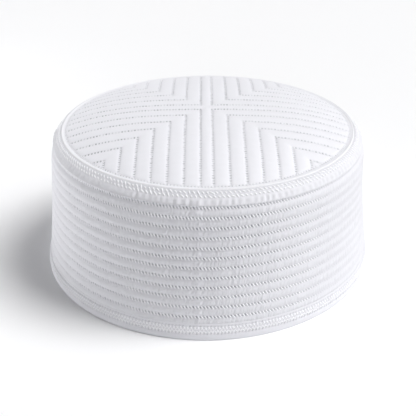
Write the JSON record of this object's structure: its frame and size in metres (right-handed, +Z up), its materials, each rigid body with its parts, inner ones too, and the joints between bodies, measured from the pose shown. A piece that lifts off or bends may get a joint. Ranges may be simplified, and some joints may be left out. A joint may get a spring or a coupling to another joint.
{
  "type": "prayer cap",
  "caption": "Stiff round brimless cloth cap with a low domed quilted crown, a row-stitched band, a rolled rim and a folded hem, open below for the head.",
  "frame": {"origin": "centre of the cap on the plane of the hem's underside, where it stands", "axes": "+Z up through the middle of the crown, -Y to the front, +X to the wearer's left as the front faces the viewer"},
  "size_m": [0.188, 0.188, 0.0897],
  "materials": {
    "quilted_cotton": "white cotton quilted over wadding, matt",
    "welt_cotton": "white cotton rolled edge, matt",
    "band_cotton": "white cotton sewn in close rows over stiffening, matt",
    "hem_tape": "white cotton tape, folded and sewn, matt"
  },
  "bodies": {
    "root": {"crown": "quilted_cotton", "rim_welt": "welt_cotton", "band": "band_cotton", "hem": "hem_tape"}
  },
  "joints": []
}
